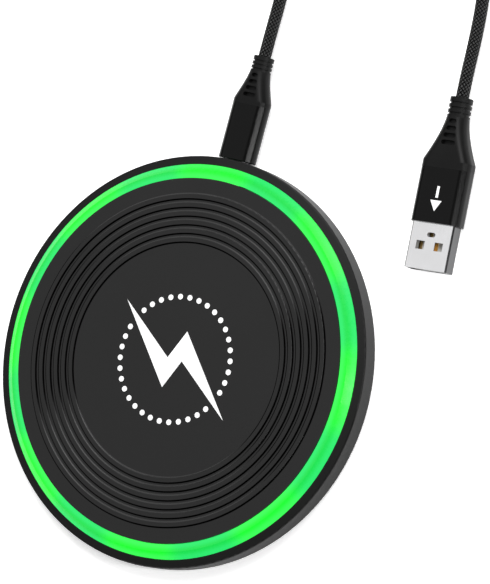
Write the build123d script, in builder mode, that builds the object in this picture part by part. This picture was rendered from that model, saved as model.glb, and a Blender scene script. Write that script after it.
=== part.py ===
from build123d import *
from math import cos, pi, radians, sin, tan
import os

# A round wireless charging pad with a lit ring, a braided lead that plugs into it, and the
# USB-A plug at the lead's far end. Millimetres. +Z is up, the origin is the bottom centre of
# the pad on its foot ring, and the lead's port faces +Y.

os.makedirs("parts", exist_ok=True)

# ---------------------------------------------------------------- driving dimensions
PAD_RADIUS = 55.0
FACE_HEIGHT = 8.2          # flat of the silicone mat above the surface it stands on
WALL_BOTTOM = 0.4
WALL_TOP = 6.1
WALL_THICKNESS = 1.6
WALL_EDGE_RADIUS = 0.4
FIT_GAP = 0.1              # between neighbouring mouldings
SLIP_GAP = 0.03            # between a part and the pocket that holds it

RING_INNER = 48.75
RING_LAND = 50.7           # where the lit ring's flat land turns into its bevel
RING_OUTER = 52.6
RING_LAND_HEIGHT = 8.0
RING_EDGE_HEIGHT = 6.55
RIM_EDGE_HEIGHT = 6.5
LEDGE_TOP = 4.9
LEDGE_BOTTOM = 4.1
LEDGE_INNER = 51.3

MAT_RADIUS = 48.6
MAT_BOTTOM = 7.3
RIB_COUNT = 6
RIB_WIDTH = 1.6
RIB_PITCH = 2.33
RIB_HEIGHT = 0.35
FIRST_RIB_RADIUS = 32.0
RIB_EDGE_RADIUS = 0.28

MARK_FILM = 0.06
DOT_CIRCLE = 16.7
DOT_DIAMETER = 1.5
DOT_PLACES = 36
DOT_STEP = 360 / DOT_PLACES
DOT_START = 1.0            # degrees from +X
BOLT_LENGTH = 45.0
BOLT_WIDTH = 15.0
BOLT_SHOULDER = 3.0        # the side points' distance from the bolt's middle, along it
BOLT_NOTCH = (1.2, 1.9)
BOLT_TILT = 57.0           # degrees from +Y, to the left

BASE_BOTTOM = 0.5
BASE_TOP = 1.5
FOOT_INNER = 42.0
FOOT_OUTER = 47.0
FOOT_GROOVE = 0.4
FOOT_EDGE_RADIUS = 0.3
TOP_PLATE_BOTTOM = 6.0
POST_CIRCLE = 44.5
POST_COUNT = 4
POST_START = 45.0
POST_DIAMETER = 4.6
SCREW_HEAD_DIAMETER = 4.0
SCREW_HEAD_HEIGHT = 0.8
SCREW_SHANK_DIAMETER = 1.7
SCREW_SEAT = 1.85
SCREW_TIP = 5.2
DRIVER_SLOT = (2.2, 0.5)
DRIVER_DEPTH = 0.5
BOSS_DIAMETER = 6.6
BOSS_TOP = 2.6

BOARD_BOTTOM = 2.0
BOARD_THICKNESS = 0.8
BOARD_TOP = BOARD_BOTTOM + BOARD_THICKNESS
BOARD_RADIUS = 46.6
BOARD_INNER_EDGE = 27.5
BOARD_SCREW_X = 26.0
BOARD_SCREW_Y = 34.0
TAB_WIDTH = 14.0
TAB_END = 52.0

LED_COUNT = 8
LED_START = 26.5           # degrees from +X
LED_CIRCLE = 49.5
LED_BOARD_BOTTOM = 3.3
LED_BOARD_THICKNESS = 0.6
LED_BOARD_TOP = LED_BOARD_BOTTOM + LED_BOARD_THICKNESS
LED_BOARD_WIDTH = 3.2
LED_BOARD_GAP = 12.0       # half angle left open at the port, degrees
LED_SIZE = (2.6, 3.0, 0.8)

COIL_TURNS = 11
COIL_WIRE = 1.1
COIL_INNER = 10.4
FOAM_BOTTOM = 3.0
FOAM_THICKNESS = 0.4
FERRITE_SIZE = 50.0
FERRITE_THICKNESS = 1.2
FILM_THICKNESS = 0.1
FERRITE_BOTTOM = FOAM_BOTTOM + FOAM_THICKNESS
FERRITE_TOP = FERRITE_BOTTOM + FERRITE_THICKNESS
COIL_BOTTOM = FERRITE_TOP + FILM_THICKNESS
COIL_CENTRE = COIL_BOTTOM + COIL_WIRE / 2
COIL_STEP = 1.09           # turns press into each other by a hair
COIL_OUTER = COIL_INNER + COIL_WIRE + COIL_STEP * (COIL_TURNS - 1)
LEAD_SLOT_WIDTH = 4.8
LEAD_SLOT_X = -2.2
LEAD_WIRE = 1.0
INNER_LEAD_X = -3.5
OUTER_LEAD_X = 6.0

PORT_HEIGHT = 3.3
PORT_BACK = 47.1
PORT_MOUTH = 54.5
PORT_INNER = (8.34, 2.56)
PORT_SHELL_WALL = 0.3
PORT_WINDOW = (9.4, 3.7)
PORT_CUT_LENGTH = 10.0
TONGUE_SIZE = (6.69, 0.70)
TONGUE_TIP = 53.2
TONGUE_ROOT = 48.3
PIN_COUNT = 12
PIN_PITCH = 0.5
PIN_FILM = 0.04

PLUG_C_SHELL = (8.25, 2.40)
PLUG_C_WALL = 0.22
PLUG_C_REACH = 6.65        # metal that stands out of the sleeve
PLUG_C_BURIED = 5.0
PLUG_C_FACE = 55.05
SLEEVE_C = (10.8, 5.8, 2.85)
SLEEVE_C_LENGTH = 15.2
RELIEF_C_LENGTH = 13.3
PLUG_C_CAVITY = (6.82, 0.86)

PLUG_A_SHELL = (12.0, 4.5)
PLUG_A_WALL = 0.3
PLUG_A_REACH = 12.0
PLUG_A_BURIED = 6.0
PLUG_A_CORNER = 0.5
PLUG_A_FACE = (62.2, 50.4)
PLUG_A_TURN = 4.0          # degrees, the plug's back leans towards -X
SLEEVE_A = (13.8, 6.8, 2.6)
SLEEVE_A_LENGTH = 14.3
RELIEF_A_LENGTH = 18.8

CABLE_DIAMETER = 3.5
CABLE_LENGTH = 1000.0
FLOOR_CLEAR = 0.01
CABLE_LOW = CABLE_DIAMETER / 2 + FLOOR_CLEAR

HANK_CENTRE = (27.0, 148.0)
HANK_TURNS = 6.5
HANK_PITCH = 3.6
HANK_INNER = 15.15
HANK_OUTER = HANK_INNER + HANK_TURNS / 2 * HANK_PITCH
HANK_LAYER = 3.54
HANK_HEIGHT = 2 * CABLE_LOW + HANK_LAYER
HANK_ROUNDING = 1.6
TIE_ANGLE = 90.0           # where on the coil the tie sits, degrees
TIE_SPREAD = 24.0          # degrees of the coil that the tie covers
TIE_THICKNESS = 0.95
TIE_LIFT = 1.05
TIE_GAP = 0.15

# The lead's route as it lies, from the USB-C strain relief to the coil's first turn.
LEAD_ROUTE = [
    (0.0, 83.55, 3.3),
    (0.0, 90.0, 3.3),
    (-0.4, 98.5, 2.35),
    (-0.9, 109.5, CABLE_LOW),
    (-1.2, 121.5, CABLE_LOW),
    (-0.7, 135.5, CABLE_LOW),
    (0.15, 148.0, CABLE_LOW),
]

# From the coil's last turn, on its upper layer, down to the USB-A strain relief.
TAIL_ROUTE = [
    (53.85, 148.0, 5.3),
    (54.2, 138.5, 5.2),
    (55.4, 127.5, 3.9),
    (56.9, 116.5, 2.2),
    (58.0, 106.0, CABLE_LOW),
    (58.9, 96.5, 2.5),
    (59.507, 88.906, 3.4),
    (59.891, 83.419, 3.4),
]


# ---------------------------------------------------------------- planes and helpers
def upright_plane(x, y, height, turn):
    """A plane across a plug, looking along the plug towards its cable, with local y up."""
    angle = radians(turn)
    return Plane(
        origin=(x, y, height),
        x_dir=(-cos(angle), -sin(angle), 0),
        z_dir=(-sin(angle), cos(angle), 0),
    )


def flat_plane(x, y, height, turn):
    """A level plane whose local y runs along a plug towards its cable."""
    angle = radians(turn)
    return Plane(origin=(x, y, height), x_dir=(cos(angle), sin(angle), 0), z_dir=(0, 0, 1))


def radial_plane(centre, angle_degrees):
    """An upright plane through a vertical axis: local x is the radius and local y is up."""
    angle = radians(angle_degrees)
    return Plane(
        origin=(centre[0], centre[1], 0),
        x_dir=(cos(angle), sin(angle), 0),
        z_dir=(sin(angle), -cos(angle), 0),
    )


def corner_radii(points):
    """The largest arc that each corner's two runs leave room for."""
    radii = []
    for before, here, after in zip(points, points[1:], points[2:]):
        run_in = Vector(*here) - Vector(*before)
        run_out = Vector(*after) - Vector(*here)
        half_turn = radians(run_in.get_angle(run_out)) / 2
        radii.append(0.45 * min(run_in.length, run_out.length) / tan(half_turn))
    return radii


def cord_tube(points, name):
    """A round cord along straight runs joined by tangent arcs."""
    radii = corner_radii(points)
    with BuildPart() as tube:
        with BuildLine() as route:
            FilletPolyline(*points, radius=radii)
        with BuildSketch(Plane(origin=route.line @ 0, z_dir=route.line % 0)):
            Circle(CABLE_DIAMETER / 2)
        sweep()
    length = route.wire().length
    volume_ratio = tube.part.volume / (length * pi * CABLE_DIAMETER ** 2 / 4)
    print(name, "length", round(length, 1), "volume ratio", round(volume_ratio, 4))
    print(name, "radii", [round(radius) for radius in radii])
    return tube, length


def strain_relief(across, level, sections, length, slots, grooves):
    """A tapered moulding: sections are (distance, width, height, corner radius)."""
    with BuildPart() as relief:
        for distance, width, height, corner in sections:
            with BuildSketch(across.offset(distance)):
                RectangleRounded(width, height, corner)
        loft()
        first_distance, first_width, first_height, first_corner = sections[0]
        with BuildSketch(across):
            RectangleRounded(first_width, first_height, first_corner)
        extrude(amount=first_distance)
        last_distance, last_width, last_height, last_corner = sections[-1]
        with BuildSketch(across.offset(last_distance)):
            RectangleRounded(last_width, last_height, last_corner)
        extrude(amount=length - last_distance)
        for distance, groove_width, groove_depth in grooves:
            with BuildSketch(across.offset(distance - groove_width / 2)):
                RectangleRounded(last_width + 2, last_height + 2, last_corner)
                RectangleRounded(
                    last_width - 2 * groove_depth,
                    last_height - 2 * groove_depth,
                    last_corner - groove_depth,
                    mode=Mode.SUBTRACT,
                )
            extrude(amount=groove_width, mode=Mode.SUBTRACT)
        for distance, slot_width, slot_height, floor_height in slots:
            for side in (1, -1):
                with BuildSketch(level.offset(side * floor_height)):
                    with Locations((0, distance)):
                        SlotOverall(slot_width, slot_height)
                extrude(amount=side * first_height, mode=Mode.SUBTRACT)
    return relief


# ---------------------------------------------------------------- pad: outside
# The one-piece outer ring: wall, sloping rim and the ledge that carries the lit ring.
with BuildPart() as housing:
    with BuildSketch(Plane.XZ) as housing_profile:
        with BuildLine():
            Polyline(
                (PAD_RADIUS - WALL_THICKNESS, WALL_BOTTOM),
                (PAD_RADIUS, WALL_BOTTOM),
                (PAD_RADIUS, WALL_TOP),
                (RING_OUTER + FIT_GAP, RIM_EDGE_HEIGHT),
                (RING_OUTER + FIT_GAP, LEDGE_TOP),
                (LEDGE_INNER, LEDGE_TOP),
                (LEDGE_INNER, LEDGE_BOTTOM),
                (PAD_RADIUS - WALL_THICKNESS, LEDGE_BOTTOM),
                close=True,
            )
        make_face()
        fillet(housing_profile.vertices().group_by(Axis.X)[-1], radius=WALL_EDGE_RADIUS)
    revolve(axis=Axis.Z)
    with BuildSketch(upright_plane(0, PORT_MOUTH - PORT_CUT_LENGTH / 2, PORT_HEIGHT, 0)):
        SlotOverall(*PORT_WINDOW)
    extrude(amount=PORT_CUT_LENGTH, mode=Mode.SUBTRACT)
housing.part.label = "housing"
export_step(housing.part, "parts/housing.step")

# Translucent ring: a flat inner land, then a bevel down to the rim.
with BuildPart() as light_ring:
    with BuildSketch(Plane.XZ):
        with BuildLine():
            Polyline(
                (RING_INNER, LEDGE_TOP),
                (RING_INNER, RING_LAND_HEIGHT),
                (RING_LAND, RING_LAND_HEIGHT),
                (RING_OUTER, RING_EDGE_HEIGHT),
                (RING_OUTER, LEDGE_TOP),
                close=True,
            )
        make_face()
    revolve(axis=Axis.Z)
light_ring.part.label = "light_ring"
export_step(light_ring.part, "parts/light_ring.step")

# Silicone mat with raised rings that stop a phone from sliding.
with BuildPart() as grip_mat:
    with BuildSketch(Plane.XZ) as mat_profile:
        with Locations((MAT_RADIUS / 2, (MAT_BOTTOM + FACE_HEIGHT) / 2)):
            Rectangle(MAT_RADIUS, FACE_HEIGHT - MAT_BOTTOM)
        for rib in range(RIB_COUNT):
            with Locations((FIRST_RIB_RADIUS + rib * RIB_PITCH, FACE_HEIGHT)):
                Rectangle(RIB_WIDTH, 2 * RIB_HEIGHT)
        fillet(mat_profile.vertices().group_by(Axis.Y)[-1], radius=RIB_EDGE_RADIUS)
    revolve(axis=Axis.Z)
grip_mat.part.label = "grip_mat"
export_step(grip_mat.part, "parts/grip_mat.step")

# Printed mark: a plain lightning bolt inside a ring of dots, broken where the bolt's tips pass.
with BuildPart() as charge_mark:
    with BuildSketch(Plane.XY.offset(FACE_HEIGHT).rotated((0, 0, BOLT_TILT))):
        with BuildLine():
            Polyline(
                (0, BOLT_LENGTH / 2),
                (-BOLT_WIDTH / 2, -BOLT_SHOULDER),
                (BOLT_NOTCH[0], -BOLT_NOTCH[1]),
                (0, -BOLT_LENGTH / 2),
                (BOLT_WIDTH / 2, BOLT_SHOULDER),
                (-BOLT_NOTCH[0], BOLT_NOTCH[1]),
                close=True,
            )
        make_face()
    extrude(amount=MARK_FILM)
    with BuildSketch(Plane.XY.offset(FACE_HEIGHT)):
        for place in range(DOT_PLACES):
            bearing = DOT_START + place * DOT_STEP
            from_tip = (bearing - 90 - BOLT_TILT) % 180
            if min(from_tip, 180 - from_tip) > DOT_STEP / 2:
                with PolarLocations(DOT_CIRCLE, 1, start_angle=bearing):
                    Circle(DOT_DIAMETER / 2)
    extrude(amount=MARK_FILM)
charge_mark.part.label = "charge_mark"
export_step(charge_mark.part, "parts/charge_mark.step")

# Plate under the mat, with the four posts that the case screws bite into.
with BuildPart() as top_plate:
    with BuildSketch(Plane.XY.offset(TOP_PLATE_BOTTOM)):
        Circle(MAT_RADIUS)
    extrude(amount=MAT_BOTTOM - TOP_PLATE_BOTTOM)
    with BuildSketch(Plane.XY.offset(BOSS_TOP)):
        with PolarLocations(POST_CIRCLE, POST_COUNT, start_angle=POST_START):
            Circle(POST_DIAMETER / 2)
    extrude(amount=TOP_PLATE_BOTTOM - BOSS_TOP)
    with BuildSketch(Plane.XY.offset(BOSS_TOP)):
        with PolarLocations(POST_CIRCLE, POST_COUNT, start_angle=POST_START):
            Circle(SCREW_SHANK_DIAMETER / 2 + SLIP_GAP)
    extrude(amount=SCREW_TIP + FIT_GAP - BOSS_TOP, mode=Mode.SUBTRACT)
top_plate.part.label = "top_plate"
export_step(top_plate.part, "parts/top_plate.step")

# Bottom cover: foot groove, screw bosses, coil and light-board supports, snap rim.
BASE_RADIUS = PAD_RADIUS - WALL_THICKNESS - FIT_GAP
LED_SUPPORT = (49.0, 50.0)
COIL_SUPPORT = (19.5, 21.0)
RIM_INNER = 51.9
RIM_TOP = 2.4
PORT_RELIEF = (21.0, 12.0)
PORT_RELIEF_CENTRE = 50.0
BOARD_PILOT_BOTTOM = 0.9
SCREW_CLEARANCE = 0.3
with BuildPart() as base_cover:
    with BuildSketch(Plane.XY.offset(BASE_BOTTOM)):
        Circle(BASE_RADIUS)
    extrude(amount=BASE_TOP - BASE_BOTTOM)
    for inner, outer, top in (
        (RIM_INNER, BASE_RADIUS, RIM_TOP),
        (*LED_SUPPORT, LED_BOARD_BOTTOM),
        (*COIL_SUPPORT, FOAM_BOTTOM),
    ):
        with BuildSketch(Plane.XY.offset(BASE_TOP)):
            Circle(outer)
            Circle(inner, mode=Mode.SUBTRACT)
        extrude(amount=top - BASE_TOP)
    with BuildSketch(Plane.XY.offset(BASE_TOP)):
        with Locations((0, PORT_RELIEF_CENTRE)):
            Rectangle(*PORT_RELIEF)
    extrude(amount=LED_BOARD_BOTTOM, mode=Mode.SUBTRACT)
    with BuildSketch(Plane.XY.offset(BASE_TOP)):
        with PolarLocations(POST_CIRCLE, POST_COUNT, start_angle=POST_START):
            Circle(BOSS_DIAMETER / 2)
    extrude(amount=BOSS_TOP - BASE_TOP)
    with BuildSketch(Plane.XY.offset(BASE_TOP)):
        with GridLocations(2 * BOARD_SCREW_X, 1, 2, 1):
            with Locations((0, BOARD_SCREW_Y)):
                Circle(POST_DIAMETER / 2)
    extrude(amount=BOARD_BOTTOM - BASE_TOP)
    with BuildSketch(Plane.XY.offset(BASE_BOTTOM)):
        Circle(FOOT_OUTER)
        Circle(FOOT_INNER, mode=Mode.SUBTRACT)
    extrude(amount=FOOT_GROOVE, mode=Mode.SUBTRACT)
    with BuildSketch(Plane.XY.offset(BASE_BOTTOM)):
        with PolarLocations(POST_CIRCLE, POST_COUNT, start_angle=POST_START):
            Circle(SCREW_HEAD_DIAMETER / 2 + FIT_GAP)
    extrude(amount=SCREW_SEAT - BASE_BOTTOM, mode=Mode.SUBTRACT)
    with BuildSketch(Plane.XY.offset(SCREW_SEAT)):
        with PolarLocations(POST_CIRCLE, POST_COUNT, start_angle=POST_START):
            Circle(SCREW_SHANK_DIAMETER / 2 + SCREW_CLEARANCE)
    extrude(amount=BOSS_TOP - SCREW_SEAT, mode=Mode.SUBTRACT)
    with BuildSketch(Plane.XY.offset(BOARD_PILOT_BOTTOM)):
        with GridLocations(2 * BOARD_SCREW_X, 1, 2, 1):
            with Locations((0, BOARD_SCREW_Y)):
                Circle(SCREW_SHANK_DIAMETER / 2 + SLIP_GAP)
    extrude(amount=BOARD_BOTTOM - BOARD_PILOT_BOTTOM, mode=Mode.SUBTRACT)
base_cover.part.label = "base_cover"
export_step(base_cover.part, "parts/base_cover.step")

# Soft ring that the pad stands on. It also hides the case screws.
with BuildPart() as foot_ring:
    with BuildSketch(Plane.XY):
        Circle(FOOT_OUTER - FIT_GAP)
        Circle(FOOT_INNER + FIT_GAP, mode=Mode.SUBTRACT)
    extrude(amount=BASE_BOTTOM + FOOT_GROOVE)
    fillet(foot_ring.edges().group_by(Axis.Z)[0], radius=FOOT_EDGE_RADIUS)
foot_ring.part.label = "foot_ring"
export_step(foot_ring.part, "parts/foot_ring.step")

with BuildPart() as case_screws:
    with BuildSketch(Plane.XY.offset(SCREW_SEAT - SCREW_HEAD_HEIGHT)):
        with PolarLocations(POST_CIRCLE, POST_COUNT, start_angle=POST_START):
            Circle(SCREW_HEAD_DIAMETER / 2)
    extrude(amount=SCREW_HEAD_HEIGHT)
    with BuildSketch(Plane.XY.offset(SCREW_SEAT)):
        with PolarLocations(POST_CIRCLE, POST_COUNT, start_angle=POST_START):
            Circle(SCREW_SHANK_DIAMETER / 2)
    extrude(amount=SCREW_TIP - SCREW_SEAT)
    with BuildSketch(Plane.XY.offset(SCREW_SEAT - SCREW_HEAD_HEIGHT)):
        with PolarLocations(POST_CIRCLE, POST_COUNT, start_angle=POST_START):
            Rectangle(*DRIVER_SLOT)
            Rectangle(*reversed(DRIVER_SLOT))
    extrude(amount=DRIVER_DEPTH, mode=Mode.SUBTRACT)
case_screws.part.label = "case_screws"
export_step(case_screws.part, "parts/case_screws.step")

# ---------------------------------------------------------------- pad: light board
with BuildPart() as led_board:
    with BuildSketch(radial_plane((0, 0), 90 + LED_BOARD_GAP)):
        with Locations((LED_CIRCLE, (LED_BOARD_BOTTOM + LED_BOARD_TOP) / 2)):
            Rectangle(LED_BOARD_WIDTH, LED_BOARD_THICKNESS)
    revolve(axis=Axis.Z, revolution_arc=360 - 2 * LED_BOARD_GAP)
led_board.part.label = "led_board"
export_step(led_board.part, "parts/led_board.step")

with BuildPart() as led_chips:
    with BuildSketch(Plane.XY.offset(LED_BOARD_TOP)):
        with PolarLocations(LED_CIRCLE, LED_COUNT, start_angle=LED_START):
            Rectangle(LED_SIZE[0], LED_SIZE[1])
    extrude(amount=LED_SIZE[2])
led_chips.part.label = "led_chips"
export_step(led_chips.part, "parts/led_chips.step")

# Flat jumper that carries power from the main board up to the light board.
RIBBON_X = 10.8
RIBBON_WIDTH = 2.1
RIBBON_THICKNESS = 0.15
with BuildPart() as led_ribbon:
    with BuildSketch(Plane.YZ.offset(RIBBON_X)):
        with BuildLine():
            Polyline(
                (42.0, BOARD_TOP),
                (44.2, BOARD_TOP),
                (45.7, LED_BOARD_TOP),
                (48.2, LED_BOARD_TOP),
                (48.2, LED_BOARD_TOP + RIBBON_THICKNESS),
                (45.6, LED_BOARD_TOP + RIBBON_THICKNESS),
                (44.1, BOARD_TOP + RIBBON_THICKNESS),
                (42.0, BOARD_TOP + RIBBON_THICKNESS),
                close=True,
            )
        make_face()
    extrude(amount=RIBBON_WIDTH)
led_ribbon.part.label = "led_ribbon"
export_step(led_ribbon.part, "parts/led_ribbon.step")

# ---------------------------------------------------------------- pad: main board
PORT_OUTER = (PORT_INNER[0] + 2 * PORT_SHELL_WALL, PORT_INNER[1] + 2 * PORT_SHELL_WALL)
BOSS_CLEARANCE = 0.4
with BuildPart() as main_board:
    with BuildSketch(Plane.XY.offset(BOARD_BOTTOM)):
        Circle(BOARD_RADIUS)
        with Locations((0, BOARD_INNER_EDGE - BOARD_RADIUS)):
            Rectangle(2 * BOARD_RADIUS, 2 * BOARD_RADIUS, mode=Mode.SUBTRACT)
        with Locations((0, (BOARD_RADIUS - 2 + TAB_END) / 2)):
            Rectangle(TAB_WIDTH, TAB_END - BOARD_RADIUS + 2)
        with Locations((0, (PORT_BACK + TAB_END + 1) / 2)):
            Rectangle(PORT_OUTER[0] + 2 * FIT_GAP, TAB_END + 1 - PORT_BACK + FIT_GAP, mode=Mode.SUBTRACT)
        with PolarLocations(POST_CIRCLE, POST_COUNT, start_angle=POST_START):
            Circle(BOSS_DIAMETER / 2 + BOSS_CLEARANCE, mode=Mode.SUBTRACT)
        with GridLocations(2 * BOARD_SCREW_X, 1, 2, 1):
            with Locations((0, BOARD_SCREW_Y)):
                Circle(SCREW_SHANK_DIAMETER / 2 + 2 * FIT_GAP, mode=Mode.SUBTRACT)
    extrude(amount=BOARD_THICKNESS)
main_board.part.label = "main_board"
export_step(main_board.part, "parts/main_board.step")

BOARD_SCREW_TIP = 1.0
BOARD_SCREW_HEAD = 3.6
with BuildPart() as board_screws:
    with BuildSketch(Plane.XY.offset(BOARD_TOP)):
        with GridLocations(2 * BOARD_SCREW_X, 1, 2, 1):
            with Locations((0, BOARD_SCREW_Y)):
                Circle(BOARD_SCREW_HEAD / 2)
    extrude(amount=SCREW_HEAD_HEIGHT)
    with BuildSketch(Plane.XY.offset(BOARD_SCREW_TIP)):
        with GridLocations(2 * BOARD_SCREW_X, 1, 2, 1):
            with Locations((0, BOARD_SCREW_Y)):
                Circle(SCREW_SHANK_DIAMETER / 2)
    extrude(amount=BOARD_TOP - BOARD_SCREW_TIP)
board_screws.part.label = "board_screws"
export_step(board_screws.part, "parts/board_screws.step")


def board_blocks(places, size):
    """Identical rectangular components standing on the main board."""
    with BuildPart() as blocks:
        with BuildSketch(Plane.XY.offset(BOARD_TOP)):
            with Locations(*places):
                Rectangle(size[0], size[1])
        extrude(amount=size[2])
    return blocks


control_chip = board_blocks([(0.5, 37.0)], (6.0, 6.0, 0.9))
control_chip.part.label = "control_chip"
export_step(control_chip.part, "parts/control_chip.step")

power_transistors = board_blocks([(-9.5, 32.0), (-9.5, 36.5), (-14.5, 32.0), (-14.5, 36.5)], (3.3, 3.3, 0.8))
power_transistors.part.label = "power_transistors"
export_step(power_transistors.part, "parts/power_transistors.step")

resonant_capacitors = board_blocks([(11.5, 31.0), (15.5, 31.0), (19.5, 31.0), (11.5, 36.0)], (2.5, 3.2, 2.0))
resonant_capacitors.part.label = "resonant_capacitors"
export_step(resonant_capacitors.part, "parts/resonant_capacitors.step")

input_capacitors = board_blocks([(-7.5, 42.5), (-11.0, 42.5), (7.0, 41.5)], (1.6, 3.0, 1.5))
input_capacitors.part.label = "input_capacitors"
export_step(input_capacitors.part, "parts/input_capacitors.step")

chip_resistors = board_blocks(
    [(-4.5, 31.0 + 1.6 * step) for step in range(6)] + [(5.8, 31.0 + 1.6 * step) for step in range(5)],
    (1.6, 0.8, 0.45),
)
chip_resistors.part.label = "chip_resistors"
export_step(chip_resistors.part, "parts/chip_resistors.step")

crystal = board_blocks([(1.5, 31.2)], (3.2, 2.5, 0.8))
crystal.part.label = "crystal"
export_step(crystal.part, "parts/crystal.step")

# Shielded power inductor: a square ferrite cube with its edges broken.
INDUCTOR_PLACE = (-20.5, 38.0)
INDUCTOR_SIZE = (5.0, 5.0, 2.4)
INDUCTOR_CORNER = 0.8
INDUCTOR_CHAMFER = 0.3
with BuildPart() as power_inductor:
    with BuildSketch(Plane.XY.offset(BOARD_TOP)):
        with Locations(INDUCTOR_PLACE):
            RectangleRounded(INDUCTOR_SIZE[0], INDUCTOR_SIZE[1], INDUCTOR_CORNER)
    extrude(amount=INDUCTOR_SIZE[2])
    chamfer(power_inductor.edges().group_by(Axis.Z)[-1], length=INDUCTOR_CHAMFER)
power_inductor.part.label = "power_inductor"
export_step(power_inductor.part, "parts/power_inductor.step")

# ---------------------------------------------------------------- pad: transmitter coil
# Double-sided foam holds the ferrite plate on its support ring.
FOAM_OVERHANG = 2.0
with BuildPart() as foam_tape:
    with BuildSketch(Plane.XY.offset(FOAM_BOTTOM)):
        Circle(COIL_SUPPORT[1] + FOAM_OVERHANG)
        Circle(COIL_SUPPORT[0] - FOAM_OVERHANG, mode=Mode.SUBTRACT)
    extrude(amount=FOAM_THICKNESS)
foam_tape.part.label = "foam_tape"
export_step(foam_tape.part, "parts/foam_tape.step")

LEAD_SLOT_START = 6.5
LEAD_SLOT_LENGTH = 19.0
FERRITE_CORNER = 3.0
with BuildPart() as ferrite_plate:
    with BuildSketch(Plane.XY.offset(FERRITE_BOTTOM)):
        RectangleRounded(FERRITE_SIZE, FERRITE_SIZE, FERRITE_CORNER)
        with Locations((LEAD_SLOT_X, LEAD_SLOT_START + LEAD_SLOT_LENGTH / 2)):
            Rectangle(LEAD_SLOT_WIDTH, LEAD_SLOT_LENGTH, mode=Mode.SUBTRACT)
    extrude(amount=FERRITE_THICKNESS)
ferrite_plate.part.label = "ferrite_plate"
export_step(ferrite_plate.part, "parts/ferrite_plate.step")

# Glue film between the ferrite plate and the winding.
with BuildPart() as coil_adhesive:
    with BuildSketch(Plane.XY.offset(FERRITE_TOP)):
        Circle(COIL_OUTER)
        Circle(COIL_INNER + 0.3, mode=Mode.SUBTRACT)
    extrude(amount=FILM_THICKNESS)
coil_adhesive.part.label = "coil_adhesive"
export_step(coil_adhesive.part, "parts/coil_adhesive.step")

# Flat spiral winding, drawn as rings of round wire pressed together.
with BuildPart() as transmitter_coil:
    with BuildSketch(Plane.XZ):
        for turn in range(COIL_TURNS):
            with Locations((COIL_INNER + COIL_WIRE / 2 + turn * COIL_STEP, COIL_CENTRE)):
                Circle(COIL_WIRE / 2)
    revolve(axis=Axis.Z)
transmitter_coil.part.label = "transmitter_coil"
export_step(transmitter_coil.part, "parts/transmitter_coil.step")

# The winding's two ends: one drops through the ferrite's slot, one leaves the outer turn.
LEAD_LOW = FERRITE_BOTTOM + LEAD_WIRE / 2 + FIT_GAP
LEAD_ON_BOARD = BOARD_TOP + LEAD_WIRE / 2
with BuildPart() as coil_leads:
    with BuildLine() as inner_lead:
        FilletPolyline(
            (INNER_LEAD_X, 8.0, COIL_CENTRE),
            (INNER_LEAD_X, 8.0, LEAD_LOW),
            (INNER_LEAD_X, 26.0, LEAD_LOW),
            (INNER_LEAD_X, 28.2, LEAD_ON_BOARD),
            (INNER_LEAD_X, 29.8, LEAD_ON_BOARD),
            radius=0.6,
        )
    with BuildSketch(Plane(origin=inner_lead.line @ 0, z_dir=inner_lead.line % 0)):
        Circle(LEAD_WIRE / 2)
    sweep(path=inner_lead.line)
    with BuildLine() as outer_lead:
        FilletPolyline(
            (OUTER_LEAD_X, (COIL_OUTER ** 2 - (OUTER_LEAD_X - LEAD_WIRE / 2) ** 2) ** 0.5, COIL_CENTRE),
            (OUTER_LEAD_X, 25.8, COIL_CENTRE),
            (OUTER_LEAD_X, 28.4, LEAD_ON_BOARD),
            (OUTER_LEAD_X, 30.2, LEAD_ON_BOARD),
            radius=0.8,
        )
    with BuildSketch(Plane(origin=outer_lead.line @ 0, z_dir=outer_lead.line % 0)):
        Circle(LEAD_WIRE / 2)
    sweep(path=outer_lead.line)
coil_leads.part.label = "coil_leads"
export_step(coil_leads.part, "parts/coil_leads.step")

# Temperature bead at the coil's centre with its pair of thin wires.
BEAD_SIZE = (2.4, 1.8, 1.0)
BEAD_Y = 6.0
with BuildPart() as thermistor:
    with BuildSketch(Plane.XY.offset(FERRITE_TOP)):
        with Locations((-1.2, BEAD_Y)):
            RectangleRounded(BEAD_SIZE[0], BEAD_SIZE[1], 0.6)
    extrude(amount=BEAD_SIZE[2])
    for wire_x in (-1.6, -0.8):
        with BuildLine() as bead_wire:
            FilletPolyline(
                (wire_x, BEAD_Y + BEAD_SIZE[1] / 2 - 0.2, FERRITE_TOP + 0.4),
                (wire_x, 8.6, FERRITE_TOP + 0.4),
                (wire_x, 9.4, LEAD_LOW),
                (wire_x, 26.0, LEAD_LOW),
                (wire_x, 28.0, BOARD_TOP + 0.2),
                (wire_x, 29.5, BOARD_TOP + 0.2),
                radius=0.25,
            )
        with BuildSketch(Plane(origin=bead_wire.line @ 0, z_dir=bead_wire.line % 0)):
            Circle(0.18)
        sweep(path=bead_wire.line)
thermistor.part.label = "thermistor"
export_step(thermistor.part, "parts/thermistor.step")

# ---------------------------------------------------------------- pad: USB-C port
with BuildPart() as port_shell:
    with BuildSketch(upright_plane(0, PORT_BACK, PORT_HEIGHT, 0)):
        SlotOverall(*PORT_OUTER)
        SlotOverall(*PORT_INNER, mode=Mode.SUBTRACT)
    extrude(amount=PORT_MOUTH - PORT_BACK)
port_shell.part.label = "port_shell"
export_step(port_shell.part, "parts/port_shell.step")

with BuildPart() as port_tongue:
    with BuildSketch(upright_plane(0, PORT_BACK, PORT_HEIGHT, 0)):
        SlotOverall(PORT_INNER[0] - SLIP_GAP, PORT_INNER[1] - SLIP_GAP)
    extrude(amount=TONGUE_ROOT - PORT_BACK)
    with BuildSketch(upright_plane(0, TONGUE_ROOT, PORT_HEIGHT, 0)):
        Rectangle(*TONGUE_SIZE)
    extrude(amount=TONGUE_TIP - TONGUE_ROOT)
port_tongue.part.label = "port_tongue"
export_step(port_tongue.part, "parts/port_tongue.step")

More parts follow.
